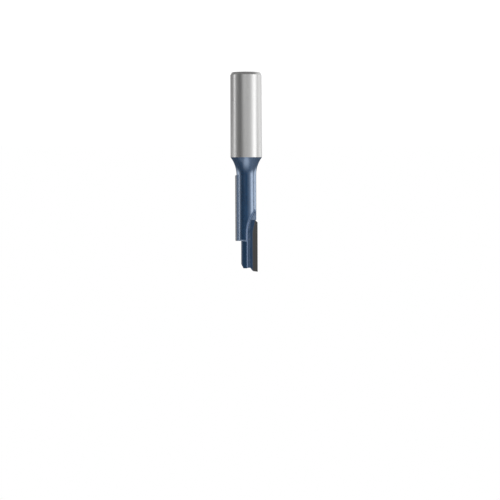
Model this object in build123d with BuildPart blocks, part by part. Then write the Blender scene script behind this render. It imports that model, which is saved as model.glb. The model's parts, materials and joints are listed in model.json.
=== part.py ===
from build123d import *
import math
import os

# Router bit for straight cuts: a ground shank, a flare, a slimmer fluted body and two brazed tips
# that sit on opposite sides at staggered heights.
# It stands on the flat end of its shank. Heights start there, and +Z points to the cutting end.
# Sizes are in mm and angles in degrees.

# Shank
shank_diameter = 12.7
shank_length = 34.15
shank_end_chamfer_width = 0.8
shank_end_chamfer_height = 1.1

# Flare and body
body_diameter = 8.0
flare_radius = 12.0
body_end_chamfer = 0.5

# Cutting circle and tips
cutting_diameter = 9.525
tip_width = 3.2
tip_thickness = 1.1
tip_relief_angle = 12.0
tip_end_relief_angle = 8.0
braze_thickness = 0.1

# Upper tip, nearer the shank
upper_tip_length = 26.6
upper_tip_corner = 0.35

# Lower tip, at the cutting end
tip_overlap = 8.25
lower_tip_length = 21.1
lower_tip_corner = 1.0
lower_tip_projection = 1.7
lower_tip_dish_angle = 8.5
lower_tip_inner_corner_width = 1.45
lower_tip_inner_corner_height = 1.75

# Flutes
flute_angle = 120.0
flute_corner_radius = 1.5
run_out_radius = 14.0
run_out_lead = 5.6

# Step behind the upper tip, where the steel gives way below the ledge
stepped_radius = 2.3
ledge_fillet = 0.4
ledge_bevel = 0.5
stepped_end_bevel_width = 0.9
stepped_end_bevel_height = 1.7
stepped_end_bevel_turn = 20.0

# Places that follow from the sizes
shank_radius = shank_diameter / 2
body_radius = body_diameter / 2
cutting_radius = cutting_diameter / 2
flare_step = shank_radius - body_radius
flare_angle = math.degrees(math.acos(1 - flare_step / flare_radius))
flare_end = shank_length + flare_radius * math.sin(math.radians(flare_angle))
upper_tip_end = flare_end + upper_tip_length
lower_tip_start = upper_tip_end - tip_overlap
lower_tip_end = lower_tip_start + lower_tip_length
body_end = lower_tip_end - lower_tip_projection
tip_inner_edge = cutting_radius - tip_width
seat_inner_edge = tip_inner_edge - braze_thickness
seat_depth = tip_thickness + braze_thickness
flute_half_angle = math.radians(flute_angle / 2)
flute_vertex = seat_inner_edge - flute_corner_radius / math.tan(flute_half_angle)
flute_side = run_out_radius / math.cos(flute_half_angle)
reach = shank_diameter

# The tips face opposite ways: the upper one lies towards +X and the lower one towards -X
UPPER = 1
LOWER = -1


def across(side, height):
    """Plane across the bit, with its x towards the tip of that side and its y into the chip space."""
    return Plane(origin=(0, 0, height), x_dir=(side, 0, 0), z_dir=(0, 0, 1))


def rake_plane(side):
    """Plane of a tip's cutting face through the axis, with its normal into the tip."""
    return Plane(origin=(0, 0, 0), x_dir=(side, 0, 0), z_dir=(0, -side, 0))


def flute_cutter(side, tip_start):
    """Chip space of one flute: a straight wedge whose arc runs out towards the shank."""
    run_out_start = tip_start + run_out_lead
    wall_angle = 2 * flute_half_angle
    floor_foot = (flute_vertex, 0)
    floor_end = (flute_vertex + flute_side, 0)
    wall_end = (flute_vertex + flute_side * math.cos(wall_angle), flute_side * math.sin(wall_angle))
    with BuildPart(mode=Mode.PRIVATE) as cutter:
        with BuildSketch(across(side, run_out_start)) as wedge:
            with BuildLine():
                Polyline(floor_foot, floor_end, wall_end, close=True)
            make_face()
            foot = wedge.vertices().sort_by_distance(floor_foot)[0]
            fillet(foot, flute_corner_radius)
        extrude(amount=lower_tip_end - run_out_start)
        run_out_axis = Axis(
            (side * floor_end[0], 0, run_out_start),
            (side * math.sin(flute_half_angle), -side * math.cos(flute_half_angle), 0),
        )
        revolve(wedge.sketch, axis=run_out_axis, revolution_arc=90)
    return cutter.part


def seat_cutter(side, start, end):
    """Pocket for a tip and its braze, open towards the chip space and the cutting circle."""
    with BuildPart(mode=Mode.PRIVATE) as cutter:
        with BuildSketch(across(side, start - braze_thickness)):
            with Locations((seat_inner_edge, -seat_depth)):
                Rectangle(reach, reach, align=Align.MIN)
        extrude(amount=end - start + braze_thickness)
    return cutter.part


def ledge_cutter():
    """Half ring that steps the steel behind the upper tip in, from the ledge to the end."""
    inner_foot = (stepped_radius, upper_tip_end)
    with BuildPart(mode=Mode.PRIVATE) as cutter:
        with BuildSketch(Plane.XZ) as profile:
            with BuildLine():
                Polyline(
                    inner_foot,
                    (body_radius - ledge_bevel, upper_tip_end),
                    (body_radius, upper_tip_end - ledge_bevel),
                    (reach, upper_tip_end - ledge_bevel),
                    (reach, body_end),
                    (stepped_radius, body_end),
                    close=True,
                )
            make_face()
            foot = profile.vertices().sort_by_distance(inner_foot)[0]
            fillet(foot, ledge_fillet)
        revolve(axis=Axis((0, 0, 0), (0, 0, -1)), revolution_arc=180)
    return cutter.part


def end_bevel_cutter():
    """Flat cut that takes the corner off the stepped end, below the upper tip."""
    turn = math.radians(stepped_end_bevel_turn)
    corner = stepped_radius * math.cos(turn)
    bevel_start = body_end - stepped_end_bevel_height
    outwards = (math.cos(turn), math.sin(turn), 0)
    sideways = (math.sin(turn), -math.cos(turn), 0)
    with BuildPart(mode=Mode.PRIVATE) as cutter:
        with BuildSketch(Plane(origin=(0, 0, 0), x_dir=outwards, z_dir=sideways)):
            with BuildLine():
                Polyline(
                    (corner - stepped_end_bevel_width, body_end),
                    (corner, bevel_start),
                    (reach, bevel_start),
                    (reach, body_end),
                    close=True,
                )
            make_face()
        extrude(amount=body_radius, both=True)
    return cutter.part


def tip_section(side, height):
    """Section of a tip on a plane across the bit: square to the face, with the relief behind its edge."""
    relief = tip_thickness * math.tan(math.radians(tip_relief_angle))
    with BuildSketch(across(side, height)) as section:
        with BuildLine():
            Polyline(
                (tip_inner_edge, 0),
                (cutting_radius, 0),
                (cutting_radius - relief, -tip_thickness),
                (tip_inner_edge, -tip_thickness),
                close=True,
            )
        make_face()
    return section.sketch


# Steel body: shank, flare and fluted body, turned in one piece and then milled
with BuildPart() as body:
    with BuildSketch(Plane.XZ):
        with BuildLine():
            Polyline(
                (body_radius, flare_end),
                (body_radius, body_end - body_end_chamfer),
                (body_radius - body_end_chamfer, body_end),
                (0, body_end),
                (0, 0),
                (shank_radius - shank_end_chamfer_width, 0),
                (shank_radius, shank_end_chamfer_height),
                (shank_radius, shank_length),
            )
            CenterArc((body_radius + flare_radius, flare_end), flare_radius, 180, flare_angle)
        make_face()
    revolve(axis=Axis.Z)
    add(flute_cutter(UPPER, flare_end), mode=Mode.SUBTRACT)
    add(flute_cutter(LOWER, lower_tip_start), mode=Mode.SUBTRACT)
    add(seat_cutter(UPPER, flare_end, upper_tip_end), mode=Mode.SUBTRACT)
    add(seat_cutter(LOWER, lower_tip_start, lower_tip_end), mode=Mode.SUBTRACT)
    add(ledge_cutter(), mode=Mode.SUBTRACT)
    add(end_bevel_cutter(), mode=Mode.SUBTRACT)

# Upper tip: a straight edge with a small corner towards the flare
with BuildPart() as upper_tip:
    add(tip_section(UPPER, flare_end))
    extrude(amount=upper_tip_length)
    with BuildSketch(rake_plane(UPPER)):
        with BuildLine():
            Polyline(
                (tip_inner_edge, flare_end),
                (cutting_radius - upper_tip_corner, flare_end),
                (cutting_radius, flare_end + upper_tip_corner),
                (cutting_radius, upper_tip_end),
                (tip_inner_edge, upper_tip_end),
                close=True,
            )
        make_face()
    extrude(amount=tip_thickness, mode=Mode.INTERSECT)

# Lower tip: dished and relieved at its end, so that it also cuts when it is plunged
lower_dish_slope = math.tan(math.radians(lower_tip_dish_angle))
inner_corner_radius = tip_inner_edge + lower_tip_inner_corner_width
inner_corner_end = lower_tip_end - (cutting_radius - inner_corner_radius) * lower_dish_slope
end_relief_slope = math.tan(math.radians(tip_end_relief_angle))
end_edge = Vector(1, 0, -lower_dish_slope)
end_flank = Vector(0, 1, -end_relief_slope)
end_face = Plane(origin=(LOWER * cutting_radius, 0, lower_tip_end), z_dir=end_edge.cross(end_flank))

with BuildPart() as lower_tip:
    add(tip_section(LOWER, lower_tip_start))
    extrude(amount=lower_tip_length)
    with BuildSketch(rake_plane(LOWER)):
        with BuildLine():
            Polyline(
                (tip_inner_edge, lower_tip_start),
                (cutting_radius - lower_tip_corner, lower_tip_start),
                (cutting_radius, lower_tip_start + lower_tip_corner),
                (cutting_radius, lower_tip_end),
                (inner_corner_radius, inner_corner_end),
                (tip_inner_edge, inner_corner_end - lower_tip_inner_corner_height),
                close=True,
            )
        make_face()
    extrude(amount=tip_thickness, mode=Mode.INTERSECT)
    split(bisect_by=end_face, keep=Keep.BOTTOM)


def braze_layer(side, start, end, tip):
    """Braze between a tip and its seat: behind it, along its inner edge and across its upper end."""
    with BuildPart() as layer:
        with BuildSketch(across(side, start - braze_thickness)):
            with Locations((seat_inner_edge, -seat_depth)):
                Rectangle(reach, seat_depth, align=Align.MIN)
        extrude(amount=end - start + braze_thickness)
        with BuildSketch(across(side, start - braze_thickness)):
            Circle(body_radius)
        extrude(amount=end - start + braze_thickness, mode=Mode.INTERSECT)
        add(tip, mode=Mode.SUBTRACT)
    return layer


upper_braze = braze_layer(UPPER, flare_end, upper_tip_end, upper_tip.part)
lower_braze = braze_layer(LOWER, lower_tip_start, body_end, lower_tip.part)

body.part.label = "body"
upper_tip.part.label = "upper_tip"
lower_tip.part.label = "lower_tip"
upper_braze.part.label = "upper_braze"
lower_braze.part.label = "lower_braze"

os.makedirs("parts", exist_ok=True)
export_step(body.part, "parts/body.step")
export_step(upper_tip.part, "parts/upper_tip.step")
export_step(lower_tip.part, "parts/lower_tip.step")
export_step(upper_braze.part, "parts/upper_braze.step")
export_step(lower_braze.part, "parts/lower_braze.step")
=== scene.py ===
"""Looks of a straight router bit: ground shank, blue coated body and two staggered carbide tips.

Lengths are in metres unless a name says otherwise, and the bit stands on its shank with +Z up.
The picture shows it the other way up, so the camera is rolled by half a turn.
"""

from __future__ import annotations

import json
import logging
import math
from dataclasses import dataclass, field
from enum import Enum

import bmesh
import bpy
from mathutils import Matrix, Vector

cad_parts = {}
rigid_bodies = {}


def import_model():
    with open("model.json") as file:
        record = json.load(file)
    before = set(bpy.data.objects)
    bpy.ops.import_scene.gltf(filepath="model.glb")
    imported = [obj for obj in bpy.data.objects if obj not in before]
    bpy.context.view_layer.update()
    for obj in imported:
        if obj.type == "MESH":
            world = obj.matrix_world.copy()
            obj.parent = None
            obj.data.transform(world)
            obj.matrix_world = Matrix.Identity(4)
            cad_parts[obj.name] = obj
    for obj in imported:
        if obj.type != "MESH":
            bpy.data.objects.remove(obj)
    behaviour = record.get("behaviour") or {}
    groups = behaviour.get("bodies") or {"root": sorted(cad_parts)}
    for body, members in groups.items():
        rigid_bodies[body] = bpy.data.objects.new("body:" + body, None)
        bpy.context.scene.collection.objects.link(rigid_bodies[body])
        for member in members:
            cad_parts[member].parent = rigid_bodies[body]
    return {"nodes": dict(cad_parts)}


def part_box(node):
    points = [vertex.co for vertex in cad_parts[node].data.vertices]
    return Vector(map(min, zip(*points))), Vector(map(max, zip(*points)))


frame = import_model()

LOG = logging.getLogger("router_bit")
MM = 0.001
Colour = tuple[float, float, float, float]
Span = tuple[float, float]
Shades = tuple[tuple[float, float], ...]
Socket = bpy.types.NodeSocket


class Node(Enum):
    """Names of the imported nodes."""

    BODY = "body"
    UPPER_TIP = "upper_tip"
    LOWER_TIP = "lower_tip"
    UPPER_BRAZE = "upper_braze"
    LOWER_BRAZE = "lower_braze"


class Side(Enum):
    """Side of the bit on which a tip sits, as the sign of its X."""

    UPPER = 1.0
    LOWER = -1.0


class Blend(Enum):
    """What is blended, as the data type of the node and the numbers of its sockets."""

    VALUE = ("FLOAT", (0, 2, 3), 0)
    COLOUR = ("RGBA", (0, 6, 7), 2)


def grey(value: float) -> Colour:
    """Neutral colour of that linear brightness."""
    return (value, value, value, 1.0)


def toned(colour: Colour, gain: float) -> Colour:
    """Colour with its brightness multiplied by a gain."""
    return tuple(part * gain for part in colour[:3]) + (1.0,)


def place_object(name: str, data: bpy.types.ID) -> bpy.types.Object:
    """Add an object to the scene.

    Args:
        name: Name of the object.
        data: Its mesh, lamp or camera.

    Returns:
        The new object.
    """
    thing = bpy.data.objects.new(name, data)
    bpy.context.scene.collection.objects.link(thing)
    return thing


def dress_node(node: Node, *materials: bpy.types.Material) -> bpy.types.Object:
    """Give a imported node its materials.

    Args:
        node: Node that is dressed.
        materials: Its materials, in the order of their slots.

    Returns:
        The node's object.
    """
    piece = frame["nodes"][node.value]
    piece.data.materials.clear()
    for material in materials:
        piece.data.materials.append(material)
    return piece


@dataclass
class Graph:
    """Node tree of a material or of the world, with short calls to fill it.

    Args:
        tree: The node tree that the calls add to.
    """

    tree: bpy.types.NodeTree

    def add(self, kind: str, **settings: object) -> bpy.types.Node:
        """Add a node and set its properties.

        Args:
            kind: Node type without the ShaderNode prefix.
            settings: Properties of the node by name.

        Returns:
            The new node.
        """
        node = self.tree.nodes.new("ShaderNode" + kind)
        for name, value in settings.items():
            setattr(node, name, value)
        return node

    def fill(self, socket: Socket, value: object) -> None:
        """Link a socket to another one, or give it a plain value.

        Args:
            socket: Input that is filled.
            value: Socket, number or colour that goes into it.
        """
        if isinstance(value, Socket):
            self.tree.links.new(value, socket)
        else:
            socket.default_value = value

    def put(self, node: bpy.types.Node, **values: object) -> bpy.types.Node:
        """Fill inputs of a node with numbers, colours or links.

        Args:
            node: Node whose inputs are filled.
            values: Input names, with underscores for spaces, and what goes into them.

        Returns:
            The same node.
        """
        for name, value in values.items():
            self.fill(node.inputs[name.replace("_", " ")], value)
        return node

    def math(self, operation: str, *values: object) -> Socket:
        """Add a Math node.

        Args:
            operation: Operation of the node.
            values: Numbers or sockets, in the order of its inputs.

        Returns:
            Its output.
        """
        node = self.add("Math", operation=operation)
        for socket, value in zip(node.inputs, values):
            self.fill(socket, value)
        return node.outputs[0]

    def product(self, first: Socket, *others: Socket) -> Socket:
        """Multiply sockets with each other.

        Args:
            first: First socket.
            others: The other ones.

        Returns:
            Their product.
        """
        for other in others:
            first = self.math("MULTIPLY", first, other)
        return first

    def parts(self, vector: Socket) -> tuple[Socket, Socket, Socket]:
        """Split a vector into its X, Y and Z."""
        node = self.put(self.add("SeparateXYZ"), Vector=vector)
        return node.outputs["X"], node.outputs["Y"], node.outputs["Z"]

    def spread(self, value: Socket, low: object, high: object, start: float = 0.0,
               end: float = 1.0) -> Socket:
        """Map a value smoothly from one range to another.

        Args:
            value: Socket that is read.
            low: Number or socket at which the result is start.
            high: Number or socket at which the result is end.
            start: Result at low.
            end: Result at high.

        Returns:
            The mapped value.
        """
        node = self.add("MapRange", interpolation_type="SMOOTHSTEP")
        self.put(node, Value=value, From_Min=low, From_Max=high, To_Min=start, To_Max=end)
        return node.outputs["Result"]

    def blend(self, share: Socket, first: object, second: object,
              kind: Blend = Blend.COLOUR) -> Socket:
        """Blend two colours or two values.

        Args:
            share: Share of the second one.
            first: What the result is at share 0.
            second: What it is at share 1.
            kind: What is blended.

        Returns:
            The blended colour or value.
        """
        data_type, inputs, output = kind.value
        node = self.add("Mix", data_type=data_type)
        for index, value in zip(inputs, (share, first, second)):
            self.fill(node.inputs[index], value)
        return node.outputs[output]

    def noise(self, vector: Socket, scale: float, detail: float = 3.0,
              roughness: float = 0.5) -> Socket:
        """Noise between 0 and 1 on a position.

        Args:
            vector: Position that is read.
            scale: Waves per metre.
            detail: Number of finer octaves.
            roughness: Strength of the finer octaves.

        Returns:
            The noise value.
        """
        node = self.add("TexNoise", noise_dimensions="3D")
        self.put(node, Vector=vector, Scale=scale, Detail=detail, Roughness=roughness)
        return node.outputs["Fac"]

    def stretch(self, vector: Socket, scale: tuple[float, float, float]) -> Socket:
        """Scale a position on each axis.

        Args:
            vector: Position that is read.
            scale: Factor on each axis.

        Returns:
            The scaled position.
        """
        node = self.add("Mapping")
        self.put(node, Vector=vector, Scale=scale)
        return node.outputs[0]

    def bump(self, height: Socket, depth: float) -> Socket:
        """Bump from a height.

        Args:
            height: Height that is read.
            depth: Depth in metres of a height of 1.

        Returns:
            The bent normal.
        """
        node = self.add("Bump")
        self.put(node, Height=height, Distance=depth, Strength=1.0)
        return node.outputs[0]


def new_material(name: str) -> tuple[bpy.types.Material, Graph, bpy.types.Node]:
    """Make an empty material with one Principled shader on its output.

    Args:
        name: Name of the material.

    Returns:
        The material, its graph and the shader node.
    """
    material = bpy.data.materials.new(name)
    material.use_nodes = True
    material.node_tree.nodes.clear()
    graph = Graph(material.node_tree)
    shader = graph.add("BsdfPrincipled")
    graph.put(graph.add("OutputMaterial"), Surface=shader.outputs[0])
    return material, graph, shader


@dataclass
class Spot:
    """Place on the bit that a material colours, as its nodes read it.

    Args:
        graph: Graph of the material.

    Attributes:
        place: Position on the bit.
        x: X of that position.
        y: Y of that position.
        z: Z of that position.
        normal: Normal of the smooth surface.
        facet: Normal of the flat facet.
    """

    graph: Graph
    place: Socket = field(init=False)
    x: Socket = field(init=False)
    y: Socket = field(init=False)
    z: Socket = field(init=False)
    normal: Socket = field(init=False)
    facet: Socket = field(init=False)

    def __post_init__(self) -> None:
        """Add the nodes that read the place and the way that its surface faces."""
        self.place = self.graph.add("TexCoord").outputs["Object"]
        self.x, self.y, self.z = self.graph.parts(self.place)
        geometry = self.graph.add("NewGeometry")
        self.normal = geometry.outputs["Normal"]
        self.facet = geometry.outputs["True Normal"]


@dataclass(frozen=True)
class GroundSteel:
    """Bare steel, ground round the shank to size.

    Args:
        colour: Reflected colour of the steel.
        shadow: Brightness of its darkest places against that colour.
        polish: Share of the surface that mirrors, the rest of which is fine matt scratches.
        roughness: Roughness in its smoothest and its roughest lines.
        line_pitch: Spacing of the grinding lines.
        line_squeeze: Scale of their pattern on each axis, small along the lines.
        line_grit: Strength of the finer octaves of that pattern.
        line_span: Values of the pattern between which a line passes from smooth to rough.
        line_depth: Depth of the grinding lines.
        line_tone: How much a line darkens the steel.
        patch_waves: Faint patches in a metre.
        patch_tone: How much a patch darkens the steel.
    """

    colour: Colour = (0.6, 0.6, 0.595, 1.0)
    shadow: float = 0.9
    polish: float = 0.86
    roughness: Span = (0.27, 0.34)
    line_pitch: float = 0.09 * MM
    line_squeeze: tuple[float, float, float] = (0.02, 0.02, 1.0)
    line_grit: float = 0.65
    line_span: Span = (0.25, 0.75)
    line_depth: float = 0.0002 * MM
    line_tone: float = 0.10
    patch_waves: float = 160.0
    patch_tone: float = 0.05

    def material(self) -> bpy.types.Material:
        """Build the material.

        Returns:
            The finished material.
        """
        material, graph, shader = new_material("ground_steel_round")
        place = graph.add("TexCoord").outputs["Object"]
        lines = graph.noise(graph.stretch(place, self.line_squeeze), 1 / self.line_pitch,
                            roughness=self.line_grit)
        patches = graph.noise(place, self.patch_waves)
        tone = graph.math("MULTIPLY_ADD", lines, self.line_tone,
                          graph.math("MULTIPLY", patches, self.patch_tone))
        graph.put(
            shader,
            Base_Color=graph.blend(tone, self.colour, toned(self.colour, self.shadow)),
            Metallic=self.polish,
            Roughness=graph.spread(lines, *self.line_span, *self.roughness),
            Normal=graph.bump(lines, self.line_depth),
        )
        return material


@dataclass(frozen=True)
class Flutes:
    """Shape of the two flutes and the tips' seats, as the coat over them follows it.

    A pair of heights gives the upper flute or tip first. A pair of limits gives the value at which
    a change starts and the one at which it is in full.

    Args:
        outer_radius: Distance from the axis of the body's outside.
        skin: Limits of the depth under that outside at which a place lies in a flute.
        skin_share: Share of that change at which a place no longer counts as outside.
        foot: Distance from the axis to the foot of a flute.
        half_angle: Half the angle between a flute's floor and its wall, in degrees.
        straight_tilt: Limits of a normal's Z on the straight of a flute.
        arc_tilt: Limits of a normal's Z on the steep part of an arc.
        arc_radius: Radius of the arc with which a flute runs out.
        arc_starts: Heights at which the arcs leave the straight.
        arc_top: Height below which both arcs lie.
        wall_slope: Limits of a normal's X times its Y on the wall of a flute.
        wall_turn: Limits of a normal's Y there.
        margin_shift: How far the margin of painted light past an arc reaches towards the shank.
        margin_blur: How far the edge of that margin is blurred to each side.
        seat_starts: Heights at which the tips' seats start.
        seat_near: Distance from the plane of the tips up to which the strip beside a seat is full.
        seat_far: Distances at which the strip has faded, at the heights of the two starts.
        seat_turn: Distance from the axis at which each side has its own start.
    """

    outer_radius: float = 4.0 * MM
    skin: Span = (0.05 * MM, 0.4 * MM)
    skin_share: float = 0.03
    foot: float = 0.597 * MM
    half_angle: float = 60.0
    straight_tilt: Span = (0.2, 0.08)
    arc_tilt: Span = (0.24, 0.45)
    arc_radius: float = 14 * MM
    arc_starts: Span = (46.89 * MM, 65.24 * MM)
    arc_top: float = 66 * MM
    wall_slope: Span = (0.25, 0.38)
    wall_turn: Span = (0.76, 0.60)
    margin_shift: float = 0.9 * MM
    margin_blur: float = 0.12 * MM
    seat_starts: Span = (41.3 * MM, 59.6 * MM)
    seat_near: float = 1.5 * MM
    seat_far: Span = (1.66 * MM, 2.0 * MM)
    seat_turn: float = 0.1 * MM

    def inside(self, spot: Spot) -> Socket:
        """Tell the body's outside from what lies under it.

        Args:
            spot: Place that is read.

        Returns:
            Socket that is 0 on the outside and 1 well under it.
        """
        graph = spot.graph
        radius = graph.add("VectorMath", operation="LENGTH")
        graph.put(radius, Vector=graph.stretch(spot.place, (1.0, 1.0, 0.0)))
        start, full = self.skin
        return graph.spread(radius.outputs["Value"], self.outer_radius - start,
                            self.outer_radius - full)

    def straight(self, spot: Spot, inside: Socket) -> Socket:
        """Find the straight part of the flutes and the slimmer steel past the ledge, which the coat
        paints into shade.

        Args:
            spot: Place that is read.
            inside: Socket that is 0 on the body's outside.

        Returns:
            Socket that is 1 there.
        """
        graph = spot.graph
        tilt = graph.math("ABSOLUTE", graph.parts(spot.normal)[2])
        return graph.product(inside, graph.spread(tilt, *self.straight_tilt))

    def arc(self, spot: Spot, inside: Socket) -> Socket:
        """Find the steep part of the flutes' arcs, which the coat paints lighter.

        Args:
            spot: Place that is read.
            inside: Socket that is 0 on the body's outside.

        Returns:
            Socket that is 1 there.
        """
        graph = spot.graph
        tilt = graph.math("ABSOLUTE", graph.parts(spot.normal)[2])
        below = graph.math("LESS_THAN", spot.z, self.arc_top)
        return graph.product(inside, graph.spread(tilt, *self.arc_tilt), below)

    def wall(self, spot: Spot, inside: Socket) -> Socket:
        """Find the flutes' walls, which the coat paints with a reflection.

        Args:
            spot: Place that is read.
            inside: Socket that is 0 on the body's outside.

        Returns:
            Socket that is 1 on them.
        """
        graph = spot.graph
        right, back, _ = graph.parts(spot.normal)
        slope = graph.spread(graph.product(right, back), *self.wall_slope)
        turn = graph.spread(graph.math("ABSOLUTE", back), *self.wall_turn)
        return graph.product(inside, slope, turn)

    def painted_reflection_beside_seat(self, spot: Spot, inside: Socket) -> Socket:
        """Find the strips of the body's outside beside the tips, which take a painted reflection.

        Args:
            spot: Place that is read.
            inside: Socket that is 0 on the body's outside.

        Returns:
            Socket that is 1 in these strips.
        """
        graph = spot.graph
        upper, lower = self.seat_starts
        far = graph.spread(spot.z, upper, lower, *self.seat_far)
        near = graph.spread(graph.math("ABSOLUTE", spot.y), far, self.seat_near)
        behind = graph.math("LESS_THAN", graph.product(spot.x, spot.y), 0.0)
        start = graph.spread(spot.x, -self.seat_turn, self.seat_turn, lower, upper)
        above = graph.math("GREATER_THAN", spot.z, start)
        return graph.product(near, behind, above, graph.spread(inside, self.skin_share, 0.0))

    def painted_light_past_arc(self, spot: Spot, inside: Socket) -> Socket:
        """Find the margins past the flutes' arcs, where painted light goes, from the shape of the
        wheel that cut them.

        Args:
            spot: Place that is read.
            inside: Socket that is 0 on the body's outside.

        Returns:
            Socket that is 1 in these margins.
        """
        graph = spot.graph
        half = math.radians(self.half_angle)
        upper, lower = (start - self.margin_shift for start in self.arc_starts)
        side = graph.math("SIGN", spot.y)
        out = graph.math("ABSOLUTE", spot.y)
        floor = graph.math("MULTIPLY_ADD", spot.x, side, -self.foot)
        deep = graph.math("MULTIPLY_ADD", floor, math.cos(half),
                          graph.math("MULTIPLY", out, math.sin(half)))
        aside = graph.math("MULTIPLY_ADD", floor, math.sin(half),
                           graph.math("MULTIPLY", out, -math.cos(half)))
        start = graph.spread(side, -1.0, 1.0, lower, upper)
        below = graph.math("MAXIMUM", graph.math("SUBTRACT", start, spot.z), 0.0)
        across = graph.math("SUBTRACT", self.arc_radius, deep)
        away = graph.math("SQRT", graph.math("ADD", graph.product(across, across),
                                             graph.product(below, below)))
        width = graph.math("MULTIPLY", graph.math("SUBTRACT", self.arc_radius, away),
                           math.tan(half))
        depth = graph.math("SUBTRACT", width, graph.math("ABSOLUTE", aside))
        return graph.product(graph.spread(depth, -self.margin_blur, self.margin_blur),
                             graph.spread(inside, self.skin_share, 0.0))


@dataclass(frozen=True)
class CoatLook:
    """What the coat gives to a shader at a place.

    Args:
        inside: Socket that is 0 on the body's outside.
        colour: Colour of the coat, with its painted light and shade.
        gloss: Strength of its gloss, cut back in the painted shade of the flutes.
        waves: Height of its waves, from 0 to 1.
    """

    inside: Socket
    colour: Socket
    gloss: Socket
    waves: Socket


@dataclass(frozen=True)
class BlueCoat:
    """Glossy dark blue coat, baked on the flare and the fluted body.

    Args:
        flutes: Shape of the flutes under it.
        colour: Colour of the coat.
        cloud_gain: Brightness of the faint clouds in it against that colour.
        cloud_waves: Clouds in a metre.
        cloud_span: Values of their pattern between which a cloud passes in.
        roughness: Roughness of the coat.
        index: Refractive index of the coat.
        gloss_tint: Tint that the coat gives to what it reflects.
        gloss_flat: Strength of the gloss where the surface is seen square on.
        gloss_steep: Strength of the gloss where it is seen at a steep angle.
        gloss_turn: How far the surface is turned away, from 0 to 1, where the gloss is in full.
        flute_shade_gloss: Share of its gloss that the coat keeps in the flutes and past the ledge,
            cut back as painted shade.
        flute_shade_colour: Colour of the coat in that painted shade of the flutes and past the
            ledge.
        wall_painted_reflection: Pale colour on the walls of the flutes, a painted reflection of the
            light that they mirror.
        scoop_painted_light: Lighter colour in the steep part of the flutes' arcs, painted light for
            the light that falls on them.
        seam_painted_reflection: Pale colour on the body beside a tip, a painted reflection of a
            light strip that the body mirrors there.
        margin_painted_light: Pale colour in a margin past the end of a flute's arc, painted light
            that carries the arcs' painted light past their edge, where the gloss is also taken off.
        wear_and_highlight_colour: Pale colour along the edges, partly wear of the coat and partly a
            painted highlight of the light that rounded edges catch.
        wear_reach: How far from an edge the pale line reaches.
        wear_rays: Rays that look for an edge.
        wear_bend: Cosine of the turn to the rounded edge where the pale line starts and where it is
            in full.
        wear_waves: Spots along the pale line in a metre.
        wear_span: Values of their pattern between which a spot passes in.
        peel_pitch: Spacing of the shallow waves in the coat.
        peel_detail: Finer octaves of these waves.
        peel_depth: Depth of these waves.
    """

    flutes: Flutes = field(default_factory=Flutes)
    colour: Colour = (0.0088, 0.037, 0.09, 1.0)
    cloud_gain: float = 1.2
    cloud_waves: float = 220.0
    cloud_span: Span = (0.35, 0.75)
    roughness: float = 0.22
    index: float = 3.0
    gloss_tint: Colour = (0.69, 0.815, 1.0, 1.0)
    gloss_flat: float = 0.03
    gloss_steep: float = 0.88
    gloss_turn: float = 0.7
    flute_shade_gloss: float = 0.14
    flute_shade_colour: Colour = (0.016, 0.042, 0.088, 1.0)
    wall_painted_reflection: Colour = (0.22, 0.295, 0.44, 1.0)
    scoop_painted_light: Colour = (0.06, 0.10, 0.17, 1.0)
    seam_painted_reflection: Colour = (0.245, 0.315, 0.43, 1.0)
    margin_painted_light: Colour = (0.122, 0.173, 0.265, 1.0)
    wear_and_highlight_colour: Colour = (0.17, 0.21, 0.28, 1.0)
    wear_reach: float = 0.07 * MM
    wear_rays: int = 4
    wear_bend: Span = (0.97, 0.85)
    wear_waves: float = 900.0
    wear_span: Span = (0.38, 0.62)
    peel_pitch: float = 0.55 * MM
    peel_detail: float = 2.0
    peel_depth: float = 0.0004 * MM

    def wear_and_edge_highlight(self, spot: Spot) -> Socket:
        """Find the pale line along the edges, partly wear of the coat and partly a painted
        highlight.

        Args:
            spot: Place that is read.

        Returns:
            Socket that is 1 there.
        """
        graph = spot.graph
        rounded = graph.put(graph.add("Bevel", samples=self.wear_rays), Radius=self.wear_reach)
        bend = graph.add("VectorMath", operation="DOT_PRODUCT")
        graph.fill(bend.inputs[0], rounded.outputs["Normal"])
        graph.fill(bend.inputs[1], spot.normal)
        spots = graph.spread(graph.noise(spot.place, self.wear_waves), *self.wear_span)
        return graph.product(graph.spread(bend.outputs["Value"], *self.wear_bend), spots)

    def gloss(self, graph: Graph, painted_flute_shade: Socket) -> Socket:
        """Find the strength of the gloss, which grows as the surface turns away.

        Args:
            graph: Graph of the material.
            painted_flute_shade: Socket that is 1 in the flutes and past the ledge, where the gloss
                is cut back as painted shade.

        Returns:
            Strength of the gloss.
        """
        facing = graph.put(graph.add("LayerWeight"), Blend=0.5)
        gloss = graph.add("MapRange")
        graph.put(gloss, Value=graph.math("SQRT", facing.outputs["Facing"]), From_Min=0.0,
                  From_Max=self.gloss_turn, To_Min=self.gloss_flat, To_Max=self.gloss_steep)
        # Painted shade: the gloss is cut back in the flutes and past the ledge, which darkens these
        # hollows.
        kept = graph.math("MULTIPLY_ADD", painted_flute_shade, self.flute_shade_gloss - 1.0, 1.0)
        return graph.product(gloss.outputs["Result"], kept)

    def shade(self, spot: Spot) -> CoatLook:
        """Describe the coat for a shader.

        Args:
            spot: Place that is coated.

        Returns:
            The coat's look there.
        """
        graph = spot.graph
        inside = self.flutes.inside(spot)
        # Painted shade: the straight of the flutes and the steel past the ledge take less gloss and
        # the flute colour.
        painted_flute_shade = self.flutes.straight(spot, inside)
        clouds = graph.spread(graph.noise(spot.place, self.cloud_waves), *self.cloud_span)
        colour = graph.blend(clouds, self.colour, toned(self.colour, self.cloud_gain))
        colour = graph.blend(painted_flute_shade, colour, self.flute_shade_colour)
        # Painted light: the steep part of the flutes' arcs is made lighter.
        colour = graph.blend(self.flutes.arc(spot, inside), colour, self.scoop_painted_light)
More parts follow.
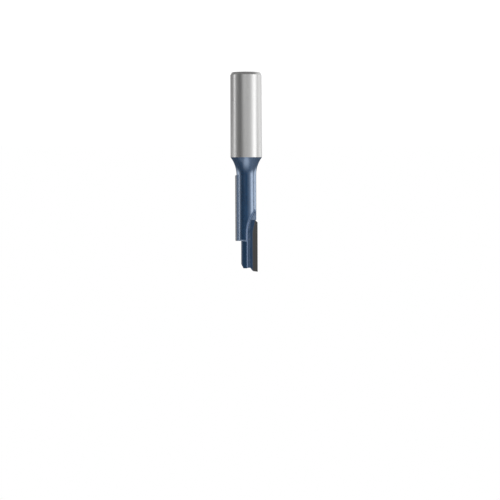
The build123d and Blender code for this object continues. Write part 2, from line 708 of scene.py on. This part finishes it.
        # Painted reflection: the walls of the flutes are made pale.
        colour = graph.blend(self.flutes.wall(spot, inside), colour, self.wall_painted_reflection)
        # Wear and painted highlight: a pale line along the edges.
        colour = graph.blend(self.wear_and_edge_highlight(spot), colour, self.wear_and_highlight_colour)
        waves = graph.noise(spot.place, 1 / self.peel_pitch, self.peel_detail)
        return CoatLook(inside, colour, self.gloss(graph, painted_flute_shade), waves)

    def material(self) -> bpy.types.Material:
        """Build the material of a fully coated surface.

        Returns:
            The finished material.
        """
        material, graph, shader = new_material("blue_coat")
        spot = Spot(graph)
        coat = self.shade(spot)
        seam = self.flutes.painted_reflection_beside_seat(spot, coat.inside)
        # Painted light: a pale margin past the end of each flute's arc, which also loses its gloss.
        margin = self.flutes.painted_light_past_arc(spot, coat.inside)
        # Painted reflection: a pale strip on the body beside each tip.
        colour = graph.blend(seam, coat.colour, self.seam_painted_reflection)
        graph.put(
            shader,
            Base_Color=graph.blend(margin, colour, self.margin_painted_light),
            Roughness=self.roughness,
            IOR=self.index,
            Specular_IOR_Level=graph.product(coat.gloss, graph.math("SUBTRACT", 1.0, margin)),
            Specular_Tint=self.gloss_tint,
            Normal=graph.bump(coat.waves, self.peel_depth),
        )
        return material


@dataclass(frozen=True)
class GroundCarbide:
    """Ground carbide, bare near the cutting edges and under the blue coat elsewhere.

    Args:
        coat: Coat that covers its back and the inner part of its face.
        colour: Colour of the bare carbide.
        face_colour: Colour of the bare part of the face, darker than the flank.
        shadow: Brightness of its darkest places against that of the face.
        roughness: Roughness of the bare carbide.
        square_on: Limits of a normal's part in one direction on a surface that faces that way.
        bare_edge_blur: How far the edge of the bare part is blurred to each side.
        ragged_waves: Ragged spots of that edge in a metre.
        ragged_depth: How far they reach.
        slant_height: Height over which that edge slants, at the tip's end towards the shank.
        line_pitch: Spacing of the grinding lines.
        line_squeeze: Scale of their pattern on each axis, small along the lines.
        line_depth: Depth of the grinding lines.
        line_tone: How much a line darkens the carbide.
        grain_waves: Grains in a metre.
        grain_detail: Finer octaves of the grain.
        grain_tone: How much a grain darkens the carbide.
    """

    coat: BlueCoat
    colour: Colour = (0.42, 0.42, 0.42, 1.0)
    face_colour: Colour = (0.081, 0.081, 0.08, 1.0)
    shadow: float = 0.72
    roughness: float = 0.42
    square_on: Span = (0.6, 0.8)
    bare_edge_blur: float = 0.08 * MM
    ragged_waves: float = 1800.0
    ragged_depth: float = 0.22 * MM
    slant_height: float = 5.5 * MM
    line_pitch: float = 0.11 * MM
    line_squeeze: tuple[float, float, float] = (1.0, 1.0, 0.03)
    line_depth: float = 0.0006 * MM
    line_tone: float = 0.3
    grain_waves: float = 9000.0
    grain_detail: float = 2.0
    grain_tone: float = 0.2

    def bare_face(self, spot: Spot, side: Side, start: float, edge: Span) -> Socket:
        """Find the bare part of a tip's face.

        Args:
            spot: Place that is read.
            side: Side of the bit on which the tip sits.
            start: Height at which the tip starts.
            edge: Distances from the axis at which the bare part starts, at that height and
                past the slant.

        Returns:
            Socket that is 1 on the bare part.
        """
        graph = spot.graph
        reach = graph.math("MULTIPLY", spot.x, side.value)
        ragged = graph.math("MULTIPLY", graph.noise(spot.place, self.ragged_waves),
                            self.ragged_depth)
        slanted = graph.spread(spot.z, start, start + self.slant_height, *edge)
        outside = graph.math("SUBTRACT", reach, graph.math("ADD", slanted, ragged))
        back = graph.parts(spot.facet)[1]
        on_face = graph.spread(graph.math("MULTIPLY", back, side.value), *self.square_on)
        return graph.product(on_face,
                             graph.spread(outside, -self.bare_edge_blur, self.bare_edge_blur))

    def material(self, name: str, side: Side, start: float, edge: Span) -> bpy.types.Material:
        """Build the material of one tip.

        Args:
            name: Name of the material.
            side: Side of the bit on which the tip sits.
            start: Height at which the tip starts.
            edge: Distances from the axis at which the bare part of its face starts, at that
                height and past the slant.

        Returns:
            The finished material.
        """
        material, graph, shader = new_material(name)
        spot = Spot(graph)
        face = self.bare_face(spot, side, start, edge)
        right, _, up = graph.parts(spot.facet)
        flank = graph.spread(graph.math("MULTIPLY", right, side.value), *self.square_on)
        bare = graph.math("MAXIMUM", face,
                          graph.math("MAXIMUM", flank, graph.spread(up, *self.square_on)))
        lines = graph.noise(graph.stretch(spot.place, self.line_squeeze), 1 / self.line_pitch)
        grain = graph.noise(spot.place, self.grain_waves, self.grain_detail)
        tone = graph.math("MULTIPLY_ADD", lines, self.line_tone,
                          graph.math("MULTIPLY", grain, self.grain_tone))
        carbide = graph.blend(face, self.colour, self.face_colour)
        carbide = graph.blend(tone, carbide, toned(self.face_colour, self.shadow))
        # The coated parts of the tip take the coat's painted light and shade too.
        coat = self.coat.shade(spot)
        height = graph.blend(bare, graph.math("MULTIPLY", coat.waves, self.coat.peel_depth),
                             graph.math("MULTIPLY", lines, self.line_depth), Blend.VALUE)
        graph.put(
            shader,
            Base_Color=graph.blend(bare, coat.colour, carbide),
            Metallic=bare,
            Roughness=graph.math("MULTIPLY_ADD", bare, self.roughness - self.coat.roughness,
                                 self.coat.roughness),
            IOR=self.coat.index,
            Specular_IOR_Level=coat.gloss,
            Specular_Tint=self.coat.gloss_tint,
            Normal=graph.bump(height, 1.0),
        )
        return material


@dataclass
class SteelBody:
    """The turned and milled body: bare shank, coated flare and flutes.

    Args:
        coat: Coat of the flare and the flutes.
        shank: Finish of the bare shank.
        shank_length: Length of the bare shank.
    """

    coat: BlueCoat
    shank: GroundSteel = field(default_factory=GroundSteel)
    shank_length: float = 34.15 * MM

    def dress(self) -> None:
        """Give the shank bare steel and everything above it the coat."""
        body = dress_node(Node.BODY, self.shank.material(), self.coat.material())
        coated = 0
        for face in body.data.polygons:
            face.material_index = 1 if face.center.z > self.shank_length else 0
            coated += face.material_index
        LOG.info("body: %d faces, %d of them coated", len(body.data.polygons), coated)


@dataclass
class CuttingTip:
    """A brazed carbide tip and the braze behind it.

    Args:
        tip: Node of the tip.
        braze: Node of the braze.
        side: Side of the bit on which it sits.
        finish: Finish of the carbide.
        bare_from: Distance from the axis at which its face is bare.
        slant: How much further out the bare part starts at the tip's end towards the shank.
    """

    tip: Node
    braze: Node
    side: Side
    finish: GroundCarbide
    bare_from: float = 2.5 * MM
    slant: float = 1.0 * MM

    def dress(self) -> None:
        """Give the tip its carbide and the braze the coat that covers it."""
        name = self.tip.value
        low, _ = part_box(self.tip.value)
        edge = (self.bare_from + self.slant, self.bare_from)
        dress_node(self.tip, self.finish.material(name + "_carbide", self.side, low.z, edge))
        dress_node(self.braze, self.finish.coat.material())
        LOG.info("%s: bare from %.2f mm off the axis", name, self.bare_from / MM)


@dataclass
class View:
    """The picture's view of the bit.

    Args:
        azimuth: Turn of the camera about the bit, in degrees from -Y towards +X.
        distance: Distance of the camera from the bit.
        eye_height: Height at which the camera looks level.
        frame_width: Width that the picture takes in at the bit.
        centre_height: Height at the middle of the picture.
        centre_right: How far the middle of the picture is to the right of the axis.
        lean: Lean of the bit in the picture, in degrees, its tips to the right.
        sensor: Width of the sensor in mm.
        clip: Distances from the camera between which it sees.
    """

    azimuth: float = 19.0
    distance: float = 600 * MM
    eye_height: float = 33.5 * MM
    frame_width: float = 202.55 * MM
    centre_height: float = 71.74 * MM
    centre_right: float = 1.39 * MM
    lean: float = 0.2
    sensor: float = 36.0
    clip: Span = (0.01, 20.0)

    def direction(self, turn: float) -> Vector:
        """Level direction, by its turn in degrees from the camera towards the picture's right."""
        angle = math.radians(self.azimuth - turn)
        return Vector((math.sin(angle), -math.cos(angle), 0.0))

    def towards(self, turn: float, rise: float) -> Vector:
        """Direction by its turn, as for a level one, and its angle above the level in degrees."""
        up = math.radians(rise)
        return self.direction(turn) * math.cos(up) + Vector((0, 0, math.sin(up)))

    def build(self) -> None:
        """Place the camera."""
        data = bpy.data.cameras.new("picture_camera")
        data.sensor_width = self.sensor
        data.lens = self.sensor * self.distance / self.frame_width
        data.clip_start, data.clip_end = self.clip
        camera = place_object("picture_camera", data)
        target = self.direction(90.0) * self.centre_right + Vector((0, 0, self.centre_height))
        place = target + self.direction(0.0) * self.distance
        place.z = self.eye_height
        back = (place - target).normalized()
        level = Vector((0, 0, -1)).cross(back).normalized()
        lean = Matrix.Rotation(math.radians(-self.lean), 3, back)
        right = lean @ level
        up = back.cross(right)
        turned = Matrix((right, up, back)).transposed().to_4x4()
        camera.matrix_world = Matrix.Translation(place) @ turned
        bpy.context.scene.camera = camera
        LOG.info("camera: %.0f mm away, %.1f degrees round", self.distance / MM, self.azimuth)


@dataclass(frozen=True)
class Softbox:
    """Soft lamp round the bit, which lights it and doesn't show in its gloss.

    Args:
        name: Name of the lamp.
        turn: Turn of its middle, in degrees from the camera to the picture's right.
        rise: Angle of its middle above the level of the bit's foot, in degrees.
        size: Width and height of its front.
        brightness: Brightness of its front, 1 for white.
    """

    name: str
    turn: float
    rise: float
    size: float
    brightness: float


@dataclass(frozen=True)
class Glow:
    """Lit patch in the roof of the tent.

    Args:
        turn: Turn of its middle, in degrees from the camera to the picture's right.
        rise: Angle of its middle above the level.
        width: Turn to each side at which it has faded.
        height: Angle up and down at which it has faded.
        core: Share of its reach over which it is even.
        brightness: Brightness that it adds in its middle.
    """

    turn: float
    rise: float
    width: float
    height: float
    core: float
    brightness: float


@dataclass
class LightTent:
    """Closed tent of shaded cloth round the bit, which shows only in its metal and its gloss.

    Args:
        view: View that its shades are set out from.
        radius: Radius of the tent.
        middle: Height of its centre.
        step: Spacing of its ribs in degrees.
        low_walls: Shades of its lower walls: turns from the camera, and the brightness there.
        high_walls: The same for its upper walls.
        seam: Angles above the level between which the lower walls pass into the upper ones.
        wall_top: Angles above the level between which the walls pass into the roof.
        roof: Shades of its roof, given as those of its walls.
        glows: Lit patches in its roof: above the camera, to the left and behind the bit.
        crown: Brightness of the roof's crown, straight above.
        crown_foot: Angles above the level between which the roof passes into its crown.
        ground: Brightness of the ground sheet.
        ground_top: Angles above the level between which the ground sheet passes into the walls.
    """

    view: View
    radius: float = 0.5
    middle: float = 55 * MM
    step: float = 3.0
    low_walls: Shades = (
        (-180.0, 0.60), (-150.0, 0.42), (-120.0, 0.24), (-108.0, 0.22), (-101.0, 0.31),
        (-96.0, 1.60), (-90.0, 2.10), (-85.0, 0.78), (-79.0, 0.28), (-66.0, 0.24), (-58.0, 0.20),
        (-48.0, 0.08), (-40.0, 0.03), (-32.0, 0.20), (-25.0, 0.50), (-18.0, 0.81), (-10.0, 0.83),
        (0.0, 0.66), (10.0, 0.56), (22.0, 0.60), (32.0, 0.70), (40.0, 1.00), (48.0, 1.38),
        (56.0, 1.85), (64.0, 2.00), (75.0, 1.88), (81.0, 1.10), (87.0, 0.80), (96.0, 0.95),
        (106.0, 1.42), (120.0, 1.18), (136.0, 0.92), (150.0, 1.05), (165.0, 0.90), (180.0, 0.60),
    )
    high_walls: Shades = (
        (-180.0, 0.12), (-150.0, 0.40), (-120.0, 1.00), (-104.0, 1.60), (-92.0, 1.32),
        (-85.0, 0.54), (-76.0, 0.42), (-66.0, 0.06), (-55.0, 0.0), (-22.0, 0.0), (-12.0, 0.09),
        (-4.0, 0.40), (6.0, 0.55), (16.0, 0.72), (26.0, 0.78), (36.0, 0.90), (44.0, 1.20),
        (52.0, 1.85), (59.0, 2.92), (70.0, 2.75), (80.0, 1.85), (86.0, 0.56), (98.0, 0.34),
        (104.0, 1.00), (112.0, 1.45), (136.0, 1.90), (143.0, 0.65), (150.0, 0.12), (180.0, 0.12),
    )
    seam: Span = (-3.5, -0.5)
    wall_top: Span = (3.0, 13.0)
    roof: Shades = (
        (-180.0, 0.10), (-60.0, 0.06), (-20.0, 0.12), (60.0, 0.34), (110.0, 0.16), (180.0, 0.10),
    )
    glows: tuple[Glow, ...] = (
        Glow(1.0, 46.0, 52.0, 46.0, 0.15, 1.5),
        Glow(-58.0, 56.0, 38.0, 19.0, 0.3, 0.22),
        Glow(-130.0, 62.0, 30.0, 24.0, 0.4, 0.58),
    )
    crown: float = 0.6
    crown_foot: Span = (74.0, 84.0)
    ground: float = 0.25
    ground_top: Span = (-60.0, -35.0)

    @staticmethod
    def along(shades: Shades, turn: float) -> float:
        """Read the brightness at a turn, evenly between the two shades beside it.

        Args:
            shades: Turns and the brightness there.
            turn: Turn in degrees that is read.

        Returns:
            Brightness, 1 for white.
        """
        for (start, first), (end, last) in zip(shades, shades[1:]):
            if turn <= end:
                return first + (last - first) * (turn - start) / (end - start)
        return shades[-1][1]

    @staticmethod
    def ease(value: float, low: float, high: float) -> float:
        """Smooth step from 0 at low to 1 at high."""
        share = min(1.0, max(0.0, (value - low) / (high - low)))
        return share * share * (3.0 - 2.0 * share)

    def shade(self, turn: float, rise: float) -> float:
        """Brightness of the cloth in one direction.

        Args:
            turn: Turn in degrees from the camera to the picture's right.
            rise: Angle above the level in degrees.

        Returns:
            Brightness, 1 for white.
        """
        glow = 0.0
        for lit in self.glows:
            away = math.hypot((turn - lit.turn) / lit.width, (rise - lit.rise) / lit.height)
            glow += lit.brightness * (1.0 - self.ease(away, lit.core, 1.0))
        up = self.ease(rise, *self.wall_top)
        high = self.ease(rise, *self.seam)
        wall = self.along(self.low_walls, turn) * (1.0 - high)
        wall += self.along(self.high_walls, turn) * high
        level = wall * (1.0 - up) + self.along(self.roof, turn) * up + glow
        level += (self.crown - level) * self.ease(rise, *self.crown_foot)
        down = 1.0 - self.ease(rise, *self.ground_top)
        return level * (1.0 - down) + self.ground * down

    def sew(self) -> bpy.types.Mesh:
        """Sew the cloth as a ball, with its shades in an attribute.

        Returns:
            The mesh of the cloth.
        """
        turns = round(360 / self.step)
        rises = round(180 / self.step)
        shape = bmesh.new()
        shades = []
        rings = []
        for row in range(rises + 1):
            rise = -90.0 + self.step * row
            ring = []
            for column in range(turns):
                turn = -180.0 + self.step * column
                towards = self.view.towards(turn, rise)
                ring.append(shape.verts.new(towards * self.radius + Vector((0, 0, self.middle))))
                shades.append(self.shade(turn, rise))
            rings.append(ring)
        for lower, upper in zip(rings, rings[1:]):
            for here, there in zip(range(turns), list(range(1, turns)) + [0]):
                shape.faces.new((lower[here], lower[there], upper[there], upper[here]))
        mesh = bpy.data.meshes.new("light_tent")
        shape.to_mesh(mesh)
        shape.free()
        mesh.attributes.new("shade", "FLOAT", "POINT").data.foreach_set("value", shades)
        return mesh

    def build(self) -> None:
        """Put the tent up, its cloth glowing in its shades."""
        mesh = self.sew()
        tent = place_object("light_tent", mesh)
        material, graph, shader = new_material("tent_cloth")
        shade = graph.add("Attribute", attribute_type="GEOMETRY", attribute_name="shade")
        graph.put(shader, Base_Color=grey(0.0), Roughness=1.0, Specular_IOR_Level=0.0,
                  Emission_Color=grey(1.0), Emission_Strength=shade.outputs["Fac"])
        mesh.materials.append(material)
        tent.visible_camera = False
        tent.visible_diffuse = False
        tent.visible_shadow = False


@dataclass
class Studio:
    """White floor and background, a light tent and soft lamps.

    Args:
        view: View that the lamps are set out from.
        lamp_ring: Distance of the lamps from the bit.
        ambient: Brightness of the surroundings on matt surfaces.
        softboxes: Soft lamps round the bit.
        floor_half: Half the width of the floor.
        floor_grey: Grey of the floor itself.
        floor_glow: Brightness that the floor adds to the light that falls on it.
    """

    view: View
    lamp_ring: float = 0.46
    ambient: float = 0.6
    softboxes: tuple[Softbox, ...] = (
        Softbox("softbox_key", 67.0, 25.0, 0.3, 1.8),
        Softbox("softbox_side", -93.0, 15.0, 0.2, 1.3),
        Softbox("softbox_overhead", 6.0, 62.0, 0.6, 1.2),
    )
    floor_half: float = 4.0
    floor_grey: float = 0.5
    floor_glow: float = 0.72

    def floor(self) -> None:
        """Lay the white floor, which keeps the bit's shadow."""
        mesh = bpy.data.meshes.new("floor")
        shape = bmesh.new()
        bmesh.ops.create_grid(shape, x_segments=1, y_segments=1, size=self.floor_half)
        shape.to_mesh(mesh)
        shape.free()
        floor = place_object("floor", mesh)
        material, graph, shader = new_material("white_floor")
        graph.put(shader, Base_Color=grey(self.floor_grey), Roughness=1.0, Specular_IOR_Level=0.0,
                  Emission_Color=grey(1.0),
                  Emission_Strength=graph.math("MULTIPLY", self.seen(graph), self.floor_glow))
        mesh.materials.append(material)
        floor.visible_glossy = False
        floor.visible_shadow = False

    @staticmethod
    def seen(graph: Graph) -> Socket:
        """Tell the rays that see a surface from those that gather light on a matt one.

        Args:
            graph: Graph of the material or of the world.

        Returns:
            Socket that is 1 for camera, glossy and transmission rays and 0 for others.
        """
        path = graph.add("LightPath")
        seen = graph.math("MAXIMUM", path.outputs["Is Camera Ray"], path.outputs["Is Glossy Ray"])
        return graph.math("MAXIMUM", seen, path.outputs["Is Transmission Ray"])

    def softbox(self, box: Softbox) -> None:
        """Build one soft lamp.

        Args:
            box: Lamp to build.
        """
        data = bpy.data.lights.new(box.name, "AREA")
        data.shape = "SQUARE"
        data.size = box.size
        data.energy = box.brightness * data.size ** 2 * math.pi
        lamp = place_object(box.name, data)
        towards = self.view.towards(box.turn, box.rise)
        lamp.location = towards * self.lamp_ring
        lamp.rotation_euler = towards.to_track_quat("Z", "Y").to_euler()
        lamp.visible_glossy = False

    def surroundings(self) -> None:
        """Make the world white to the camera and in metal, and a plain grey on matt surfaces."""
        world = bpy.data.worlds.new("white_surroundings")
        world.use_nodes = True
        world.node_tree.nodes.clear()
        graph = Graph(world.node_tree)
        strength = graph.math("MULTIPLY_ADD", self.seen(graph), 1.0 - self.ambient, self.ambient)
        background = graph.put(graph.add("Background"), Color=grey(1.0), Strength=strength)
        graph.put(graph.add("OutputWorld"), Surface=background.outputs[0])
        world.cycles.sampling_method = "NONE"
        bpy.context.scene.world = world

    def build(self) -> None:
        """Set out the floor, the tent, the lamps and the surroundings."""
        self.surroundings()
        self.floor()
        LightTent(self.view).build()
        for box in self.softboxes:
            self.softbox(box)
        LOG.info("studio: a tent and %d lamps", len(self.softboxes))


def main() -> None:
    """Dress the bit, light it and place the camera."""
    logging.basicConfig(level=logging.INFO, format="%(name)s %(message)s")
    bpy.context.scene.view_settings.view_transform = "Standard"
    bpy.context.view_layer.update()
    coat = BlueCoat()
    carbide = GroundCarbide(coat)
    SteelBody(coat).dress()
    CuttingTip(Node.UPPER_TIP, Node.UPPER_BRAZE, Side.UPPER, carbide).dress()
    CuttingTip(Node.LOWER_TIP, Node.LOWER_BRAZE, Side.LOWER, carbide).dress()
    view = View()
    view.build()
    Studio(view).build()


if __name__ == "__main__":
    main()
